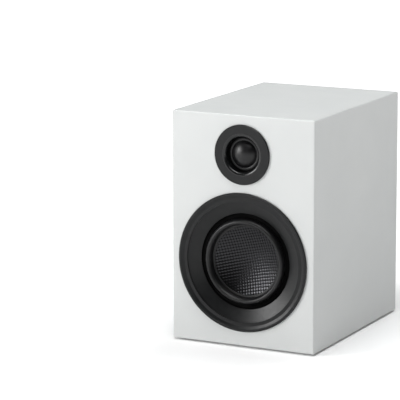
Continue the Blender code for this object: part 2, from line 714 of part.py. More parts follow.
def make_crossover(rear):
    """The filter board on the posts' studs, with its parts on the side that faces the drivers."""
    board_start = CUP_FLOOR_DEPTH + CUP_WALL + GAP + 2.8 + GAP
    front = board_start + 1.6 + GAP
    holes = [circle(2.4, SMALL, (x, 0)) for x in (-POST_SPACING / 2, POST_SPACING / 2)]
    outline = rounded_rectangle(78, 54, 2.0, (0, 6), 1)
    flat_outline("crossover_board", [outline, *holes], 1.6, "circuit_board", rear, (0, 0, -board_start - 0.8))

    def bobbin(name, x, y, radius, height):
        rim = 1.2
        profile = [
            (radius, front),
            (radius, front + rim),
            (radius - 1.4, front + rim),
            (radius - 1.4, front + height - rim),
            (radius, front + height - rim),
            (radius, front + height),
            (3.5, front + height),
            (3.5, front),
        ]
        turned(name, profile, "copper_wire", rear, COARSE, (x, y, 0))

    bobbin("woofer_inductor", -25.0, 19.0, 12.0, 14.0)
    bobbin("tweeter_inductor", 27.0, 21.0, 9.0, 10.0)
    for name, x, y, radius, length in (
        ("tweeter_capacitor", 0.0, 22.0, 6.0, 24.0),
        ("woofer_capacitor", 0.0, -12.0, 6.5, 28.0),
    ):
        rounding = cylinder(
            name,
            radius,
            length,
            (x, y, -front - radius),
            rear,
            "capacitor_film",
            facets=COARSE,
            helper=False,
        )
        rounding.rotation_euler = (0, math.pi / 2, 0)
        bevel = rounding.modifiers.new("edges", "BEVEL")
        bevel.width = 0.8 * MM
        bevel.limit_method = "ANGLE"
    box("attenuator_resistor", (22, 9, 9), (27, -12, -front - 4.5), "cement", rear, bevel=0.5)


def smooth_route(points, count):
    """Points spread along a Catmull-Rom curve through the given ones."""
    knots = [Vector(p) for p in (points[0], *points, points[-1])]
    spans = len(knots) - 3
    route = []
    for i in range(count):
        where = spans * i / (count - 1)
        k = min(int(where), spans - 1)
        t = where - k
        a, b, c, d = knots[k : k + 4]
        route.append(
            0.5
            * (2 * b + (c - a) * t + (2 * a - 5 * b + 4 * c - d) * t * t + (3 * b - a - 3 * c + d) * t**3)
        )
    return route


def make_lead(name, points, radius=1.1, count=22):
    """A two-core lead through points of (x, depth from the baffle, height over the cabinet's underside)."""
    curve = bpy.data.curves.new(name, "CURVE")
    curve.dimensions = "3D"
    curve.bevel_depth = radius * MM
    curve.bevel_resolution = 1
    curve.use_fill_caps = True
    spline = curve.splines.new("POLY")
    route = smooth_route(points, count)
    spline.points.add(len(route) - 1)
    for point, (x, depth, height) in zip(spline.points, route):
        point.co = (x * MM, (FRONT_Y + depth) * MM, (FLOOR + height) * MM, 1)
    add(name, curve, "cable_jacket")


def make_leads():
    to_woofer = [(32, 141.1, 46), (32, 134, 46.5), (33, 110, 52), (33, 76, 60), (33, 50, 65)]
    to_woofer += [(32.5, 36, WOOFER_HEIGHT), (32.3, 26.8, WOOFER_HEIGHT)]
    make_lead("woofer_lead", to_woofer)
    to_tweeter = [(-8, 141.1, 75), (-9, 133, 76.5), (-20, 118, 88), (-27, 98, 108), (-24, 74, 126)]
    to_tweeter += [(-14, 48, 142), (-5, 28, 148), (0, 17.2, TWEETER_HEIGHT)]
    make_lead("tweeter_lead", to_tweeter)


def make_rear(rear, port, red, black):
    make_port(port)
    make_terminal_cup(rear)
    make_binding_post("red", red, "red_plastic")
    make_binding_post("black", black, "black_moulding")
    make_crossover(rear)
    make_leads()


clear_scene()
speaker = new_collection("bookshelf_speaker")
cutters = new_collection("cutters")
cutters.hide_render = True
make_materials()

woofer_axis = axis_empty("woofer_axis", 0, FRONT_Y, WOOFER_Z)
tweeter_axis = axis_empty("tweeter_axis", 0, FRONT_Y, TWEETER_Z)
rear_axis = axis_empty("rear_axis", 0, REAR_Y, CUP_Z, rear=True)
port_axis = axis_empty("port_axis", 0, REAR_Y, PORT_Z, rear=True)
red_axis = axis_empty("red_post_axis", -POST_SPACING / 2, REAR_Y, CUP_Z, rear=True)
black_axis = axis_empty("black_post_axis", POST_SPACING / 2, REAR_Y, CUP_Z, rear=True)

make_cabinet(woofer_axis, tweeter_axis, rear_axis, port_axis)
make_woofer(woofer_axis)
make_tweeter(tweeter_axis)
make_rear(rear_axis, port_axis, red_axis, black_axis)
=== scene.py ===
"""The looks of the bookshelf speaker: its lacquered cabinet, its drivers, its rear panel and a studio.

Depths and radii are in millimetres. A depth runs inwards from the face that carries the piece: the front
baffle's face for the drivers, and the rear panel's for the port, the terminal cup and the binding posts.
"""

import json
import math

import bmesh
import bpy
import numpy as np
from mathutils import Matrix, Vector


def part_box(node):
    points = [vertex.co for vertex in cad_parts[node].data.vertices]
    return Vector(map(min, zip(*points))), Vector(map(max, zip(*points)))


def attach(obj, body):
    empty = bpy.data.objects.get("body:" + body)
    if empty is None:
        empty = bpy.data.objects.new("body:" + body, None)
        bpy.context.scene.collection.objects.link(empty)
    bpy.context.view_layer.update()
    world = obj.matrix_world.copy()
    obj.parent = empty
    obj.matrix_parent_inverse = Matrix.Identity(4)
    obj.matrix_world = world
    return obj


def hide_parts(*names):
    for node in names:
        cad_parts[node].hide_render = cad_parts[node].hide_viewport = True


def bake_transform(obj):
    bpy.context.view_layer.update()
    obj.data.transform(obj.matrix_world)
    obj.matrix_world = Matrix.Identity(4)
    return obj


MM = 0.001
TAU = 2 * math.pi

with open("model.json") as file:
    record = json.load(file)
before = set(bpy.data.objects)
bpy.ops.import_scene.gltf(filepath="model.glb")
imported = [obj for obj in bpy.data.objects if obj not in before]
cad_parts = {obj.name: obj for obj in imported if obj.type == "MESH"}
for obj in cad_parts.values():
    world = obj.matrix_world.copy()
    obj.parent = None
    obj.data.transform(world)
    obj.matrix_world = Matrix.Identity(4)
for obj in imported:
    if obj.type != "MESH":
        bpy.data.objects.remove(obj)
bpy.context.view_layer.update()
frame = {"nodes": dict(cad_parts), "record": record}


# ---------------------------------------------------------------- places that the frame gives


def middle(node):
    low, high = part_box(node)
    return (low + high) / 2


FRONT_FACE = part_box("front_baffle")[0].y
REAR_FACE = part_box("rear_panel")[1].y


class Seat:
    """Where a round piece sits. Across runs to the right of someone who looks at it from outside."""

    def __init__(self, node, inward, face=None, up=(0, 0, 1)):
        self.inward, self.up = Vector(inward), Vector(up)
        self.right = self.inward.cross(self.up)
        self.origin = middle(node)
        if face is not None:
            self.origin.y = face

    def at(self, across, up, depth):
        """The world point across and up from the axis, at a depth, all in millimetres."""
        return self.origin + (self.right * across + self.up * up + self.inward * depth) * MM


def front_seat(node):
    return Seat(node, (0, 1, 0), FRONT_FACE)


def rear_seat(node):
    return Seat(node, (0, -1, 0), REAR_FACE)


WOOFER = front_seat("woofer_trim_ring")
TWEETER = front_seat("tweeter_trim_plate")
PORT = rear_seat("reflex_port")
CUP = rear_seat("terminal_cup")
POSTS = {name: rear_seat(f"knob_{name}") for name in ("red", "black")}


# ---------------------------------------------------------------- mesh helpers


def filleted(corners, segments=5):
    """An outline of (radius, depth, fillet) corners with each fillet drawn as an arc."""
    points = []
    count = len(corners)
    for i, corner in enumerate(corners):
        here = Vector(corner[:2])
        fillet = corner[2] if len(corner) > 2 else 0
        if not fillet:
            points.append(here)
            continue
        before = Vector(corners[i - 1][:2]) - here
        after = Vector(corners[(i + 1) % count][:2]) - here
        before.normalize()
        after.normalize()
        half = math.acos(max(-1, min(1, before.dot(after)))) / 2
        reach = fillet / math.tan(half)
        centre = here + (before + after).normalized() * fillet / math.sin(half)
        start, end = here + before * reach - centre, here + after * reach - centre
        turn = math.atan2(start.x * end.y - start.y * end.x, start.dot(end))
        for k in range(segments + 1):
            spin = Matrix.Rotation(turn * k / segments, 2)
            points.append(centre + spin @ start)
    return points


def new_object(name, mesh, material):
    obj = bpy.data.objects.new(name, mesh)
    bpy.context.scene.collection.objects.link(obj)
    mesh.materials.append(material)
    return obj


def smooth(obj, angle=32.0):
    obj.data.shade_smooth()
    obj.data.set_sharp_from_angle(angle=math.radians(angle))
    return obj


def turned(name, seat, profile, material, steps=256, closed=True, wall=0.0):
    """A profile of (radius, depth) points turned about a seat's axis. An open profile gets a wall."""
    shape = bmesh.new()
    points = [shape.verts.new((r * MM, d * MM, 0)) for r, d in profile]
    pairs = list(zip(points, points[1:]))
    if closed:
        pairs.append((points[-1], points[0]))
    edges = [shape.edges.new(pair) for pair in pairs]
    bmesh.ops.spin(shape, geom=points + edges, axis=(0, 1, 0), cent=(0, 0, 0), angle=TAU, steps=steps)
    bmesh.ops.remove_doubles(shape, verts=shape.verts, dist=1e-7)
    bmesh.ops.dissolve_degenerate(shape, edges=shape.edges, dist=1e-8)
    for vertex in shape.verts:
        across, depth, up = vertex.co / MM
        vertex.co = seat.at(across, up, depth)
    bmesh.ops.recalc_face_normals(shape, faces=shape.faces)
    mesh = bpy.data.meshes.new(name)
    shape.to_mesh(mesh)
    shape.free()
    obj = smooth(new_object(name, mesh, material))
    if wall:
        shell = obj.modifiers.new("wall", "SOLIDIFY")
        shell.thickness = wall * MM
        shell.offset = 0
    elif closed:
        obj.modifiers.new("even_shading", "WEIGHTED_NORMAL").keep_sharp = True
    return obj


def rounded_rectangle(width, height, radius, per_corner=6):
    points = []
    for corner, (side_x, side_y) in enumerate(((1, 1), (-1, 1), (-1, -1), (1, -1))):
        for step in range(per_corner + 1):
            turn = math.pi / 2 * (corner + step / per_corner)
            x = side_x * (width / 2 - radius) + radius * math.cos(turn)
            points.append((x, side_y * (height / 2 - radius) + radius * math.sin(turn)))
    return points


def prism(name, seat, outline, depth_from, depth_to, material):
    """An outline of (across, up) points carried between two depths."""
    shape = bmesh.new()
    depths = (depth_from, depth_to)
    rings = [[shape.verts.new(seat.at(x, y, depth)) for x, y in outline] for depth in depths]
    shape.faces.new(rings[0])
    shape.faces.new(list(reversed(rings[1])))
    for i in range(len(outline)):
        j = (i + 1) % len(outline)
        shape.faces.new((rings[0][j], rings[0][i], rings[1][i], rings[1][j]))
    bmesh.ops.recalc_face_normals(shape, faces=shape.faces)
    mesh = bpy.data.meshes.new(name)
    shape.to_mesh(mesh)
    shape.free()
    return new_object(name, mesh, material)


def cut(obj, cutter, operation="DIFFERENCE"):
    """Applies a Boolean and removes the cutter."""
    boolean = obj.modifiers.new("cut", "BOOLEAN")
    boolean.operation = operation
    boolean.object = cutter
    bake_modifiers(obj)
    bpy.data.objects.remove(cutter, do_unlink=True)


def bake_modifiers(obj):
    bpy.context.view_layer.update()
    graph = bpy.context.evaluated_depsgraph_get()
    mesh = bpy.data.meshes.new_from_object(obj.evaluated_get(graph))
    obj.modifiers.clear()
    obj.data = mesh


def round_edges(obj, width, segments=3, angle=30.0):
    bevel = obj.modifiers.new("edges", "BEVEL")
    bevel.width = width * MM
    bevel.segments = segments
    bevel.limit_method = "ANGLE"
    bevel.angle_limit = math.radians(angle)
    return obj


def stands_for(obj, body, slot, *nodes):
    """The piece rides on a body and is shown in place of its CAD nodes. The slot is not used."""
    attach(obj, body)
    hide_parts(*nodes)
    return obj


# ---------------------------------------------------------------- materials


class Nodes:
    """Short calls for one material's node tree."""

    def __init__(self, name):
        self.material = bpy.data.materials.new(name)
        self.material.use_nodes = True
        self.tree = self.material.node_tree
        self.shader = self.tree.nodes["Principled BSDF"]
        self.place = self.add("ShaderNodeTexCoord").outputs["Object"]

    def add(self, kind, **inputs):
        node = self.tree.nodes.new(kind)
        for socket, value in inputs.items():
            self.feed(node.inputs[socket.replace("_", " ")], value)
        return node

    def feed(self, socket, value):
        if isinstance(value, bpy.types.NodeSocket):
            self.tree.links.new(value, socket)
        else:
            socket.default_value = value

    def noise(self, size, detail=3.0, stretch=(1, 1, 1)):
        """Noise from 0 to 1 whose features are about size millimetres across."""
        mapping = self.add("ShaderNodeMapping", Vector=self.place, Scale=stretch)
        place = mapping.outputs[0]
        noise = self.add("ShaderNodeTexNoise", Vector=place, Scale=1 / (size * MM), Detail=detail)
        return noise.outputs[0]

    def spread(self, value, low, high, start=0.3, end=0.7):
        """A 0 to 1 value from start to end, as a number from low to high."""
        node = self.add("ShaderNodeMapRange")
        self.feed(node.inputs[0], value)
        for index, number in enumerate((start, end, low, high), 1):
            node.inputs[index].default_value = number
        return node.outputs[0]

    def shades(self, value, dark, light):
        node = self.add("ShaderNodeMix")
        node.data_type = "RGBA"
        self.feed(node.inputs[0], value)
        node.inputs[6].default_value = (*dark, 1)
        node.inputs[7].default_value = (*light, 1)
        return node.outputs[2]

    def math(self, operation, a, b=0.0):
        node = self.add("ShaderNodeMath")
        node.operation = operation
        self.feed(node.inputs[0], a)
        self.feed(node.inputs[1], b)
        return node.outputs[0]

    def bump(self, height, depth, before=None):
        """A bump whose full height is depth millimetres."""
        node = self.add("ShaderNodeBump", Height=height, Distance=depth * MM, Strength=1.0)
        if before is not None:
            self.feed(node.inputs["Normal"], before)
        return node.outputs[0]

    def finish(self, colour, roughness, metallic=0.0, normal=None, **sockets):
        self.feed(self.shader.inputs["Base Color"], colour)
        self.feed(self.shader.inputs["Roughness"], roughness)
        self.shader.inputs["Metallic"].default_value = metallic
        if normal is not None:
            self.feed(self.shader.inputs["Normal"], normal)
        for socket, value in sockets.items():
            self.shader.inputs[socket.replace("_", " ")].default_value = value
        return self.material


def lacquer(name="white_lacquer"):
    """Satin white lacquer: a faint orange peel, and barely uneven in tone and gloss."""
    n = Nodes(name)
    tone = n.shades(n.spread(n.noise(45.0, 2.0), 0, 1), (0.595, 0.609, 0.604), (0.620, 0.632, 0.626))
    peel = n.bump(n.noise(1.6, 2.0), 0.006)
    speck = n.bump(n.noise(0.35, 2.0), 0.002, peel)
    return n.finish(tone, n.spread(n.noise(20.0), 0.40, 0.46), normal=speck, Specular_IOR_Level=0.45)


def moulded(name, dark, light, roughness, grain=0.5, depth=0.008, **sockets):
    """Moulded plastic or rubber with a fine spark-eroded grain."""
    n = Nodes(name)
    tone = n.shades(n.spread(n.noise(6.0), 0, 1), dark, light)
    height = n.bump(n.noise(grain, 4.0), depth)
    gloss = n.spread(n.noise(3.0), roughness - 0.03, roughness + 0.03)
    return n.finish(tone, gloss, normal=height, **sockets)


def brushed(name, dark, light, roughness, turned_marks=True):
    """Plated or machined metal with fine tool marks and slight tarnish."""
    n = Nodes(name)
    stretch = (0.15, 1.0, 0.15) if turned_marks else (1, 1, 1)
    tone = n.shades(n.spread(n.noise(4.0), 0, 1), dark, light)
    marks = n.bump(n.noise(0.25, 3.0, stretch), 0.004)
    gloss = n.spread(n.noise(1.5, 4.0), roughness - 0.06, roughness + 0.08)
    return n.finish(tone, gloss, metallic=1.0, normal=marks)


def cloth(name, dark, light, pitch, depth=0.03, roughness=0.8, sheen=0.2):
    """Plain-woven cloth: two sets of threads a pitch apart, as waves."""
    n = Nodes(name)
    waves = []
    for direction in ("X", "Z"):
        wave = n.add("ShaderNodeTexWave", Vector=n.place, Scale=1 / (pitch * MM * TAU) * math.pi)
        wave.bands_direction = direction
        waves.append(wave.outputs["Fac"])
    weave = n.math("MAXIMUM", *waves)
    # partly painted shade: the threads are coloured darker where the weave dips, and the rest of the tone
    # varies at random
    tone = n.shades(n.math("MULTIPLY", weave, n.spread(n.noise(2.0), 0.7, 1.0)), dark, light)
    return n.finish(tone, roughness, normal=n.bump(weave, depth), Sheen_Weight=sheen, Sheen_Roughness=0.5)


def carbon(name="woven_carbon"):
    """Glossy woven tows with fine filaments on each, and painted shade: the tows are coloured nearly black
    where they dip under into the gaps.
    """
    n = Nodes(name)
    over = n.add("ShaderNodeAttribute")
    over.attribute_name = "tow_height"
    height = over.outputs["Fac"]
    # painted shade: the colour, which is also the reflection's strength, falls to nearly black where the
    # tows are low
    tone = n.shades(n.spread(height, 0, 1, 0.35, 0.7), (0.0005, 0.0005, 0.0005), (0.036, 0.036, 0.038))
    filaments = n.bump(n.noise(0.12, 3.0), 0.006)
    gloss = n.spread(n.noise(1.1, 2.0), 0.21, 0.27)
    return n.finish(tone, gloss, metallic=1.0, normal=filaments)


def printed_board(name="circuit_board"):
    n = Nodes(name)
    tracks = n.add("ShaderNodeTexBrick", Vector=n.place, Scale=90.0)
    tone = n.shades(n.spread(tracks.outputs["Fac"], 0, 1, 0, 1), (0.015, 0.10, 0.04), (0.03, 0.20, 0.08))
    return n.finish(tone, n.spread(n.noise(2.0), 0.35, 0.5), normal=n.bump(tracks.outputs["Fac"], 0.03))


def wound_copper(name="copper_wire"):
    """Enamelled wire laid in turns along the driver's axis."""
    n = Nodes(name)
    turns = n.add("ShaderNodeTexWave", Vector=n.place, Scale=1 / (0.35 * MM * TAU) * math.pi)
    turns.bands_direction = "Y"
    # painted shade: the wire is coloured darker in the grooves between turns, where the bump is low
    tone = n.shades(turns.outputs["Fac"], (0.28, 0.09, 0.03), (0.72, 0.32, 0.14))
    gloss = n.spread(n.noise(1.0), 0.25, 0.4)
    return n.finish(tone, gloss, metallic=1.0, normal=n.bump(turns.outputs["Fac"], 0.06))


def fibreboard(name="raw_mdf"):
    n = Nodes(name)
    fibres = n.noise(0.8, 6.0, (0.3, 1.0, 1.0))
    tone = n.shades(n.spread(fibres, 0, 1), (0.36, 0.24, 0.14), (0.55, 0.40, 0.26))
    return n.finish(tone, 0.85, normal=n.bump(fibres, 0.05))


def wadding(name="damping_wool"):
    """Needled polyester: long crossed fibres over soft lumps."""
    n = Nodes(name)
    fibres = n.noise(0.5, 8.0, (0.2, 1.0, 1.0))
    lumps = n.bump(n.noise(6.0, 3.0), 0.8)
    tone = n.shades(n.spread(fibres, 0, 1), (0.38, 0.38, 0.36), (0.68, 0.68, 0.65))
    return n.finish(tone, 0.95, normal=n.bump(fibres, 0.2, lumps), Sheen_Weight=0.4, Sheen_Roughness=0.6)


# Dark and light tones of the driver rings' plastic, whether it is left matt or polished.
RING_BLACK = ((0.0045, 0.0048, 0.0052), (0.0070, 0.0074, 0.0078))

MATERIALS = {
    "white_lacquer": lacquer(),
    "raw_mdf": fibreboard(),
    "black_moulding": moulded("black_moulding", *RING_BLACK, 0.36, Specular_IOR_Level=0.28),
    "polished_moulding": moulded("polished_moulding", *RING_BLACK, 0.20, Specular_IOR_Level=0.45),
    "black_rubber": moulded(
        "black_rubber",
        (0.0025, 0.0025, 0.003),
        (0.0045, 0.0045, 0.005),
        0.42,
        grain=0.8,
        Specular_IOR_Level=0.4,
    ),
    # painted shade: near-black foam that reflects almost nothing, so that the gaps it lines read as deep
    # shade
    "painted_shade_foam": moulded(
        "painted_shade_foam",
        (0.001, 0.001, 0.001),
        (0.003, 0.003, 0.003),
        0.9,
        grain=0.4,
        depth=0.15,
        Specular_IOR_Level=0.05,
    ),
    "woven_carbon": carbon(),
    "silk_dome": moulded(
        "silk_dome",
        (0.0025, 0.0025, 0.003),
        (0.004, 0.004, 0.0045),
        0.37,
        grain=0.25,
        depth=0.002,
        Specular_IOR_Level=0.40,
    ),
    "spider_cloth": cloth("spider_cloth", (0.22, 0.12, 0.03), (0.55, 0.36, 0.12), 0.5),
    "black_steel": moulded("black_steel", (0.022, 0.022, 0.022), (0.034, 0.034, 0.034), 0.5, grain=0.3),
    "zinc_steel": brushed("zinc_steel", (0.42, 0.43, 0.45), (0.60, 0.61, 0.62), 0.34),
    "ferrite": moulded(
        "ferrite", (0.045, 0.045, 0.05), (0.085, 0.085, 0.09), 0.62, grain=0.15, depth=0.02
    ),
    "coil_former": cloth("coil_former", (0.36, 0.23, 0.08), (0.60, 0.44, 0.20), 0.3, 0.015, 0.5, 0.0),
    "copper_wire": wound_copper(),
    "gold_plate": brushed("gold_plate", (0.72, 0.49, 0.16), (0.90, 0.68, 0.30), 0.24),
    "red_plastic": moulded("red_plastic", (0.42, 0.012, 0.012), (0.52, 0.02, 0.018), 0.34, grain=0.6),
    "black_knob": moulded("black_knob", (0.016, 0.016, 0.017), (0.024, 0.024, 0.025), 0.36, grain=0.6),
    "circuit_board": printed_board(),
    "capacitor_film": moulded("capacitor_film", (0.36, 0.27, 0.03), (0.48, 0.37, 0.06), 0.32, grain=1.5),
    "cement": moulded("cement", (0.60, 0.59, 0.55), (0.78, 0.77, 0.73), 0.85, grain=0.3, depth=0.05),
    "damping_wool": wadding(),
    "cable_jacket": moulded("cable_jacket", (0.035, 0.035, 0.035), (0.06, 0.06, 0.06), 0.5, grain=1.0),
}


def dress_cad_nodes():
    """Every CAD node takes its slot's material, whether or not a finer piece stands for it."""
    for part in frame["record"]["subparts"]:
        data = frame["nodes"][part["node"]].data
        data.materials.clear()
        data.materials.append(MATERIALS[part["material_slot"]])


# ---------------------------------------------------------------- cabinet

EDGE_RADIUS = 1.2
BRACE_FIT = 0.3  # gap between the brace and the boards round it
CUT_PAST_FACE, CUT_INTO_CABINET, CUT_PAST_REAR = 2, 25, 5
# Each driver's seat, the radius and depth of its rebate, and the radius of the hole through it.
DRIVER_OPENINGS = ((WOOFER, 47.5, 11.5, 39.0), (TWEETER, 21.9, 6.5, 17.5))


def world_box(name, low, high, material):
    shape = bmesh.new()
    size, centre = Vector(high) - Vector(low), (Vector(high) + Vector(low)) / 2
    placing = Matrix.Translation(centre) @ Matrix.Diagonal((*size, 1))
    bmesh.ops.create_cube(shape, size=1.0, matrix=placing)
    mesh = bpy.data.meshes.new(name)
    shape.to_mesh(mesh)
    shape.free()
    return new_object(name, mesh, material)


def disc_cutter(seat, radius, start, end, steps=192):
    turns = [TAU * i / steps for i in range(steps)]
    outline = [(radius * math.cos(t), radius * math.sin(t)) for t in turns]
    return prism("cutter", seat, outline, start, end, MATERIALS["raw_mdf"])


def make_cabinet():
    """The five outer boards as the one seamless lacquered shell that they look like, its edges rounded."""
    paint = MATERIALS["white_lacquer"]
    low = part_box("front_baffle")[0]
    high = Vector((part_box("front_baffle")[1].x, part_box("top_panel")[1].y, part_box("top_panel")[1].z))
    shell = round_edges(world_box("cabinet_shell", low, high, paint), EDGE_RADIUS, 5)
    bake_modifiers(shell)
    inside_low, inside_high = (corner.copy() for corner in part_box("cabinet_brace"))
    inside_low.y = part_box("front_baffle")[1].y
    inside_high.y = high.y + CUT_PAST_REAR * MM
    grow = Vector((BRACE_FIT, 0, BRACE_FIT)) * MM
    cut(shell, world_box("cutter", inside_low - grow, inside_high + grow, paint))
    for seat, rebate, rebate_depth, hole in DRIVER_OPENINGS:
        cut(shell, disc_cutter(seat, rebate, -CUT_PAST_FACE, rebate_depth))
        cut(shell, disc_cutter(seat, hole, -CUT_PAST_FACE, CUT_INTO_CABINET))
    smooth(shell, 40)
    shell.modifiers.new("even_shading", "WEIGHTED_NORMAL").keep_sharp = True
    boards = ("front_baffle", "top_panel", "bottom_panel", "left_side_panel", "right_side_panel")
    stands_for(shell, "cabinet", "white_lacquer", *boards)


def make_feet():
    """Rubber pads with a rounded rim and a shallow dish underneath."""
    for part in frame["record"]["subparts"]:
        node = part["node"]
        if not node.startswith("foot_"):
            continue
        low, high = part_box(node)
        radius, height = (high.x - low.x) / 2 / MM, (high.z - low.z) / MM
        seat = Seat(node, (0, 0, 1), up=(0, 1, 0))
        seat.origin.z = low.z
        dish = 0.25
        corners = [(0, height), (radius, height, 0.25), (radius, 0, 0.3)]
        corners += [(radius * 0.6, 0), (radius * 0.5, dish), (0, dish)]
        foot = turned(f"{node}_pad", seat, filleted(corners, 3), MATERIALS["black_rubber"], 64)
        stands_for(foot, "cabinet", "black_rubber", node)


def make_damping_pad():
    """Wadding that is crowned on top and pulled in at its corners."""
    low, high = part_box("damping_pad")
    pad = world_box("wadding_pad", low, high, MATERIALS["damping_wool"])
    shape = bmesh.new()
    shape.from_mesh(pad.data)
    bmesh.ops.subdivide_edges(shape, edges=shape.edges, cuts=12, use_grid_fill=True)
    centre, half = (low + high) / 2, (high - low) / 2
    rim_sink, fullness = 0.45, 0.96
    waist, corner_pinch = 0.03, 0.04
    lump_height, lumps_across, lumps_along = 0.4, 310, 270  # the last two in radians a metre
    for vertex in shape.verts:
        share = [(vertex.co[i] - centre[i]) / half[i] for i in range(3)]
        rim = max(abs(share[0]), abs(share[1]))
        crown = 1 - rim_sink * rim**6
        height = (vertex.co.z - low.z) * crown
        waves = math.sin(vertex.co.x * lumps_across) * math.sin(vertex.co.y * lumps_along)
        lump = waves * lump_height * MM
        vertex.co.z = low.z + height * fullness + lump * max(share[2], 0)
        pinch = 1 - waist * (1 - abs(share[2])) - corner_pinch * (share[0] * share[1]) ** 2
        vertex.co.x = centre.x + (vertex.co.x - centre.x) * pinch
        vertex.co.y = centre.y + (vertex.co.y - centre.y) * pinch
    shape.to_mesh(pad.data)
    shape.free()
    smooth(pad, 60)
    pad.modifiers.new("soft", "SUBSURF").levels = 1
    pad.modifiers["soft"].render_levels = 1
    stands_for(pad, "cabinet", "damping_wool", "damping_pad")


# ---------------------------------------------------------------- woofer

CONE_RADIUS, CONE_RIM_DEPTH, CONE_BOWL, CONE_THICKNESS = 27.3, 7.3, 6.0, 0.8
CONE_EDGE = CONE_RADIUS + 1.0
TOW = 2.2  # width of one woven tow
TOW_RELIEF = 0.28  # height of a tow above the gaps
WEAVE_TURN = math.radians(13)


def make_woofer_trim():
    """The dished ring: a flat lip with a fine edge, a slope down to the mouth, and a return behind it."""
    corners = [
        (54.1, -0.3, 0.15),
        (54.1, -1.0, 0.3),
        (53.6, -1.5, 0.3),
        (52.2, -1.5, 0.15),
        (51.9, -1.2, 0.1),
        (37.2, 4.9, 0.3),
        (37.7, 5.7, 0.2),
        (38.4, 5.8, 0.2),
        (45.6, 2.8),
        (45.6, 7.0),
        (47.1, 7.0),
        (47.1, -0.3),
    ]
    ring = turned("woofer_ring", WOOFER, filleted(corners), MATERIALS["black_moulding"])
    stands_for(ring, "cabinet", "black_moulding", "woofer_trim_ring")


def radial_blend(obj, seat):
    """Bakes the sheet's placing into its mesh."""
    seat.at(0, 0, 10)
    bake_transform(obj)


def half_roll(centre, half_width, height, foot, count, start=0.0, end=math.pi):
    turns = [start + (end - start) * i / count for i in range(count + 1)]
    return [(centre + half_width * math.cos(t), foot - height * math.sin(t)) for t in turns]


def make_surround():
    """The rubber half roll, its inner edge glued to the cone and its outer edge bedded in a foam land,
    whose near-black, almost unreflective finish is painted shade in the gap behind the ring.
    """
    profile = [(34.4, 6.9), (33.6, 6.8)]
    profile += half_roll(30.85, 2.45, 5.3, 6.5, 28) + [(28.0, 6.68), (27.4, 6.72), (26.8, 6.75)]
    sheet = turned("surround_roll", WOOFER, profile, MATERIALS["black_rubber"], closed=False, wall=0.5)
    smooth(sheet, 60)
    radial_blend(sheet, WOOFER)
    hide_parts("woofer_surround")
    # painted shade: the foam land fills the gap behind the ring's mouth in near black
    land = [(33.6, 6.2), (33.8, 6.1), (39.4, 6.1), (39.4, 6.6), (33.6, 6.6)]
    foam = turned("surround_land", WOOFER, land, MATERIALS["painted_shade_foam"])
    stands_for(foam, "cabinet", "black_rubber", "woofer_surround")


def tow_height(across, up):
    """Height of a plain weave, 0 to 1. At each crossing the upper tow is a cushion, rounder across it."""
    u = (across * math.cos(WEAVE_TURN) + up * math.sin(WEAVE_TURN)) / TOW
    v = (-across * math.sin(WEAVE_TURN) + up * math.cos(WEAVE_TURN)) / TOW
    level = (np.floor(u) + np.floor(v)) % 2 == 0
    u, v = 2 * (u - np.floor(u)) - 1, 2 * (v - np.floor(v)) - 1
    beside, along = np.where(level, v, u), np.where(level, u, v)
    return np.sqrt(np.maximum(0.0, 1 - beside**2)) * np.sqrt(1 - 0.8 * along**2)


def make_cone():
    """The bowl, front and back, with the weave standing out of its front."""
    steps, front_rings = 760, 143
    front_radii = np.linspace(0.05, CONE_EDGE, front_rings)
    back_radii = np.array([CONE_EDGE, 20.0, 10.0, 0.05])
    turns = np.arange(steps) * TAU / steps
    radii = np.repeat(np.concatenate([front_radii, back_radii]), steps)
    angles = np.tile(turns, len(front_radii) + len(back_radii))
    across, up = radii * np.cos(angles), radii * np.sin(angles)
    depth = CONE_RIM_DEPTH + CONE_BOWL * (1 - np.minimum(radii / CONE_RADIUS, 1.0) ** 2)
    weave = tow_height(across, up)
    in_front = np.arange(len(radii)) < len(front_radii) * steps
    depth += np.where(in_front, (1 - weave) * TOW_RELIEF, CONE_THICKNESS)
    points = [WOOFER.at(*point) for point in zip(across, up, depth)]
    faces = []
    for ring in range(len(front_radii) + len(back_radii) - 1):
        for step in range(steps):
            here, after = ring * steps + step, ring * steps + (step + 1) % steps
            faces.append((here, after, after + steps, here + steps))
    last = len(points) - steps
    faces.append(tuple(range(steps)))
    faces.append(tuple(range(last, last + steps)))
    mesh = bpy.data.meshes.new("cone_bowl")
    mesh.from_pydata(points, [], faces)
    heights = mesh.attributes.new("tow_height", "FLOAT", "POINT")
    heights.data.foreach_set("value", weave.astype(np.float32))
    shape = bmesh.new()
    shape.from_mesh(mesh)
    bmesh.ops.recalc_face_normals(shape, faces=shape.faces)
    shape.to_mesh(mesh)
    shape.free()
    cone = smooth(new_object("cone_bowl", mesh, MATERIALS["woven_carbon"]), 60)
    stands_for(cone, "woofer_diaphragm", "woven_carbon", "woofer_cone")


def make_spider():
    """The corrugated cloth that centres the coil, between the former and the basket."""
    inner, outer, depth, wave = 12.0, 24.0, 23.4, 1.0
    waves, count = 2.5, 60
    corrugation = [
        (inner + (outer - inner) * i / count, depth - wave * math.sin(waves * TAU * i / count))
        for i in range(count + 1)
    ]
    profile = [(10.6, depth), *corrugation, (28.2, depth)]
    weave = MATERIALS["spider_cloth"]
    cloth_disc = turned("spider_disc", WOOFER, profile, weave, 128, closed=False, wall=0.5)
    smooth(cloth_disc, 60)
    radial_blend(cloth_disc, WOOFER)
    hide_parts("woofer_spider")


# ---------------------------------------------------------------- tweeter


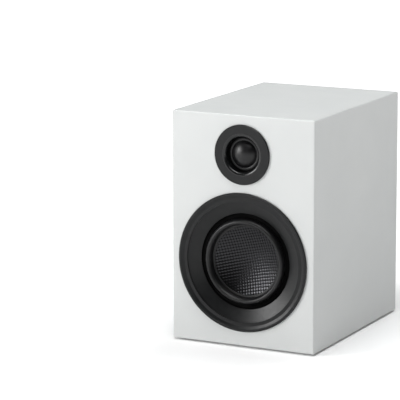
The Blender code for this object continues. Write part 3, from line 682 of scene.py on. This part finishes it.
def make_tweeter_trim():
    """A flat plate with a chamfered rim, and its polished lip that rolls over into the throat."""
    rim = [(23.1, -0.3, 0.1), (23.1, -0.9, 0.1), (22.6, -1.5, 0.15), (16.2, -1.5), (16.2, -0.3)]
    trim = turned("tweeter_plate", TWEETER, filleted(rim, 7), MATERIALS["black_moulding"])
    stands_for(trim, "cabinet", "black_moulding", "tweeter_trim_plate")
    edge = [(16.2, -1.5), (13.9, -1.5, 2.2), (13.6, 3.0, 0.2), (14.4, 3.0), (16.2, -0.3)]
    lip = turned("tweeter_lip", TWEETER, filleted(edge, 10), MATERIALS["polished_moulding"])
    stands_for(lip, "cabinet", "black_moulding", "tweeter_trim_plate")
    # painted shade: a near-black foam lining at the foot of the throat, so that the throat reads as a deep
    # dark recess
    throat = [(13.8, 3.2), (12.4, 3.35), (12.4, 3.55), (13.8, 3.55)]
    lining = turned("tweeter_throat", TWEETER, throat, MATERIALS["painted_shade_foam"])
    stands_for(lining, "cabinet", "black_moulding", "tweeter_trim_plate")


def make_dome():
    """The coated silk cap and the small roll it hangs on."""
    radius, rise, foot, wall = 10.2, 4.7, 3.7, 0.5
    sphere = (radius**2 + rise**2) / (2 * rise)
    half_turn = math.asin(radius / sphere)
    turns = [half_turn * i / 24 for i in range(25)]
    cap = [(sphere * math.sin(t), foot - rise + sphere * (1 - math.cos(t))) for t in turns]
    cap += [(10.5, foot + 0.1)]
    inside = [(r * (1 - wall / sphere), d + 0.9 * wall) for r, d in reversed(cap)]
    dome = turned("dome_cap", TWEETER, cap + inside, MATERIALS["silk_dome"], 192)
    dome.modifiers.clear()
    smooth(dome, 60)
    stands_for(dome, "tweeter_diaphragm", "silk_dome", "tweeter_dome")
    profile = [(14.0, 3.8), (12.6, 3.8)] + half_roll(11.35, 0.8, 0.35, 3.75, 16)
    roll = turned("dome_roll", TWEETER, profile, MATERIALS["silk_dome"], 192, closed=False, wall=0.25)
    smooth(roll, 60)
    radial_blend(roll, TWEETER)
    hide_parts("tweeter_surround")


# ---------------------------------------------------------------- rear


def make_port():
    """The duct and its flare, which lies on the rear panel with a rounded rim."""
    bore, length, wall = 12.5, 66.0, 1.8
    flare_reach, flare_start, flare_length = 5.0, 6.0, 8.3
    turns = [math.pi / 2 * i / 20 for i in range(21)]
    flare = [
        (bore + flare_reach * (1 - math.sin(t)), flare_start - flare_length * math.cos(t)) for t in turns
    ]
    outline = filleted([(19.0, -0.3), (19.0, -1.5, 0.4), (18.3, -2.3, 0.35)], 5)
    outline += [Vector(point) for point in flare]
    outline += [Vector(point) for point in ((bore, length), (bore + wall, length), (bore + wall, -0.3))]
    duct = turned("port_duct", PORT, outline, MATERIALS["black_moulding"], 160)
    stands_for(duct, "cabinet", "black_moulding", "reflex_port")


def make_terminal_cup():
    """The moulded cup with rounded edges, cut for its posts and screws."""
    plastic = MATERIALS["black_moulding"]
    flange, outside, inside = (66, 48, 7), (56, 38, 6), (52, 34, 4)  # width, height, corner radius
    cup = prism("cup_body", CUP, rounded_rectangle(*flange, 10), -2.8, -0.3, plastic)
    cut(cup, prism("cutter", CUP, rounded_rectangle(*outside, 10), -1.5, 13.5, plastic), "UNION")
    cut(cup, prism("cutter", CUP, rounded_rectangle(*inside, 10), -6, 11.5, plastic))
    for seat in POSTS.values():
        cut(cup, disc_cutter(seat, 2.4, 6, 18, 48))
    for index in range(4):
        cut(cup, disc_cutter(rear_seat(f"terminal_screw_{index + 1}"), 1.7, -6, 6, 48))
    smooth(round_edges(cup, 0.45, 3, 50), 40)
    cup.modifiers.new("even_shading", "WEIGHTED_NORMAL").keep_sharp = True
    stands_for(cup, "cabinet", "black_moulding", "terminal_cup")


def make_screw(node, name, seat, head_depth, head, end):
    """A pan head with a cross recess, on a shank with a thread's rings."""
    shank, pitch, groove = 1.3, 0.9, 0.25
    head_height, thread_start, thread_margin, tip = 1.4, 1.7, 3.2, 1.2
    corners = [(0, head_depth), (head * 0.72, head_depth, 0.5), (head, head_depth + 0.75, 0.4)]
    corners += [(head, head_depth + head_height, 0.1), (shank, head_depth + head_height)]
    outline = filleted(corners, 5)
    turns = int((end - head_depth - thread_margin) / pitch)
    for i in range(turns):
        top = head_depth + thread_start + pitch * i
        outline += [Vector((shank - groove, top)), Vector((shank, top + pitch * 0.5))]
    outline += [Vector((shank - 0.3, end - tip)), Vector((0, end))]
    piece = turned(name, seat, outline, MATERIALS["zinc_steel"], 48)
    recess_reach, recess_half_width = head * 0.62, 0.22
    for across, up in ((recess_reach, recess_half_width), (recess_half_width, recess_reach)):
        slot = [(across, up), (-across, up), (-across, -up), (across, -up)]
        cut(piece, prism("cutter", seat, slot, head_depth - 1, head_depth + 0.8, MATERIALS["zinc_steel"]))
    smooth(piece)
    stands_for(piece, "cabinet", "zinc_steel", node)


def make_screws():
    for index in range(4):
        node = f"terminal_screw_{index + 1}"
        make_screw(node, f"cup_screw_{index + 1}", rear_seat(node), -4.5, 2.6, 8.2)


def make_post(name, seat):
    """The gold post with its plug socket, and the washer and fluted knob that turn on it."""
    gold = MATERIALS["gold_plate"]
    corners = [(2.0, 24.0, 0.3), (2.0, 11.2), (5.4, 11.2, 0.2), (5.4, 9.7, 0.2), (3.0, 9.7)]
    corners += [(3.0, -4.5, 0.25), (2.05, -4.5, 0.2), (2.05, 6.0), (0, 6.0), (0, 24.0)]
    post = turned(f"post_{name}", seat, filleted(corners, 3), gold, 96)
    stands_for(post, "cabinet", "gold_plate", f"binding_post_{name}")
    corners = [(5.2, 8.2, 0.2), (5.2, 9.4, 0.2), (3.4, 9.4, 0.1), (3.4, 8.2, 0.1)]
    washer = turned(f"washer_{name}", seat, filleted(corners, 3), gold, 96)
    stands_for(washer, f"{name}_washer", "gold_plate", f"clamp_washer_{name}")
    make_knob(name, seat)


def make_knob(name, seat):
    """A knob with ten finger flutes, a rounded crown and a collar at its foot."""
    flutes, steps = 10, 240
    crown, foot, bore, radius = -5.1, 7.9, 3.4, 6.4
    flute_depth, flute_root, collar, collar_blend = 0.7, 4.6, 2.2, 0.18
    slot = "red_plastic" if name == "red" else "black_knob"
    corners = [(bore, crown, 0.35), (radius, crown, 0.9), (radius, foot, 0.3), (bore, foot, 0.2)]
    profile = filleted(corners, 5)
    side = [(radius, crown + (foot - crown) * k / 12) for k in range(2, 12)]
    cut_at = next(i for i, p in enumerate(profile) if p.y > 0)
    profile = profile[:cut_at] + [Vector(p) for p in side] + profile[cut_at:]
    knob = turned(f"knob_cap_{name}", seat, profile, MATERIALS[slot], steps)
    for vertex in knob.data.vertices:
        offset = (vertex.co - seat.origin) / MM
        reach, turn = math.hypot(offset.x, offset.z), math.atan2(offset.z, offset.x)
        rim = max(0.0, (reach - flute_root) / (radius - flute_root))
        flute = (0.5 - 0.5 * math.cos(flutes * turn)) ** 1.5
        above_collar = 1 / (1 + math.exp((-offset.y - (foot - collar)) / collar_blend))
        shrink = 1 - flute_depth * rim * flute * above_collar / max(reach, 1)
        vertex.co = seat.origin + Vector((offset.x * shrink, offset.y, offset.z * shrink)) * MM
    smooth(knob, 40)
    stands_for(knob, f"{name}_knob", slot, f"knob_{name}")


# ---------------------------------------------------------------- studio


def make_floor():
    """A pale floor whose glow grows with distance, so that it reads as a white sweep."""
    n = Nodes("studio_floor")
    tone = n.shades(n.spread(n.noise(300.0, 2.0), 0, 1), (0.93, 0.93, 0.93), (0.95, 0.95, 0.95))
    reach = n.add("ShaderNodeVectorMath", Vector=n.place)
    reach.operation = "LENGTH"
    near_glow, far_glow, near, far = 0.06, 1.05, 0.15, 1.45
    glow = n.spread(reach.outputs["Value"], near_glow, far_glow, near, far)
    n.feed(n.shader.inputs["Emission Strength"], glow)
    material = n.finish(tone, 0.9, Emission_Color=(1, 1, 1, 1))
    floor = world_box("floor", (-6, -6, -0.02), (6, 6, 0), material)


def make_softbox(name, azimuth, elevation, power, size=0.6, distance=1.3, colour=(1, 1, 1)):
    """A square light facing the middle of the cabinet. Azimuth 0 is in front, and 90 is to the right."""
    light = bpy.data.lights.new(name, "AREA")
    light.size = size
    light.energy = power
    light.color = colour
    across, rise = math.radians(azimuth), math.radians(elevation)
    away = Vector((math.sin(across) * math.cos(rise), -math.cos(across) * math.cos(rise), math.sin(rise)))
    lamp = bpy.data.objects.new(name, light)
    aim = Vector((0, 0, 0.09))
    lamp.location = aim + away * distance
    lamp.rotation_mode = "QUATERNION"
    lamp.rotation_quaternion = (-away).to_track_quat("-Z", "Y")
    bpy.context.scene.collection.objects.link(lamp)


def make_world():
    """A dark studio with a pale band along the horizon, where the floor sweeps up behind the speaker."""
    world = bpy.data.worlds.new("studio")
    world.use_nodes = True
    nodes, links = world.node_tree.nodes, world.node_tree.links
    direction = nodes.new("ShaderNodeTexCoord").outputs["Generated"]
    split = nodes.new("ShaderNodeSeparateXYZ")
    band = nodes.new("ShaderNodeMapRange")
    links.new(direction, split.inputs[0])
    links.new(split.outputs["Z"], band.inputs[0])
    band_top, band_end, band_glow, dark = 0.04, 0.10, 1.0, 0.03
    for index, number in enumerate((band_top, band_end, band_glow, dark), 1):
        band.inputs[index].default_value = number
    nodes["Background"].inputs["Color"].default_value = (1, 1, 1, 1)
    links.new(band.outputs[0], nodes["Background"].inputs["Strength"])
    bpy.context.scene.world = world


def make_light():
    """A large key from the left, soft lights overhead, and one over the back."""
    make_softbox("key", -50, 16, 30.0, size=0.85, distance=2.2)
    make_softbox("overhead", 10, 75, 6.3)
    make_softbox("overhead_right", 40, 60, 3.2)
    make_softbox("overhead_left", -45, 75, 2.4)
    make_softbox("rear_top", 160, 75, 8.0, colour=(0.97, 0.99, 1.0))
    bpy.context.scene.view_settings.view_transform = "Standard"


def make_camera():
    """A long lens in front, to the right and a little above."""
    azimuth, elevation, roll = (math.radians(angle) for angle in (27.347, 11.351, -0.230))
    camera = bpy.data.cameras.new("camera")
    camera.lens = 212.91
    camera.sensor_width = 36.0
    camera.clip_start, camera.clip_end = 0.1, 20.0
    obj = bpy.data.objects.new("camera", camera)
    back = Vector(
        (
            math.sin(azimuth) * math.cos(elevation),
            -math.cos(azimuth) * math.cos(elevation),
            math.sin(elevation),
        )
    )
    obj.location = (0.77774, -1.65541, 0.46802)
    obj.rotation_mode = "QUATERNION"
    tilt = Matrix.Rotation(roll, 3, "Z").to_quaternion()
    obj.rotation_quaternion = (-back).to_track_quat("-Z", "Y") @ tilt
    bpy.context.scene.collection.objects.link(obj)
    bpy.context.scene.camera = obj


dress_cad_nodes()
make_cabinet()
make_feet()
make_damping_pad()
make_woofer_trim()
make_surround()
make_cone()
make_spider()
make_tweeter_trim()
make_dome()
make_port()
make_terminal_cup()
make_screws()
for post_name, post_seat in POSTS.items():
    make_post(post_name, post_seat)
make_floor()
make_world()
make_light()
make_camera()
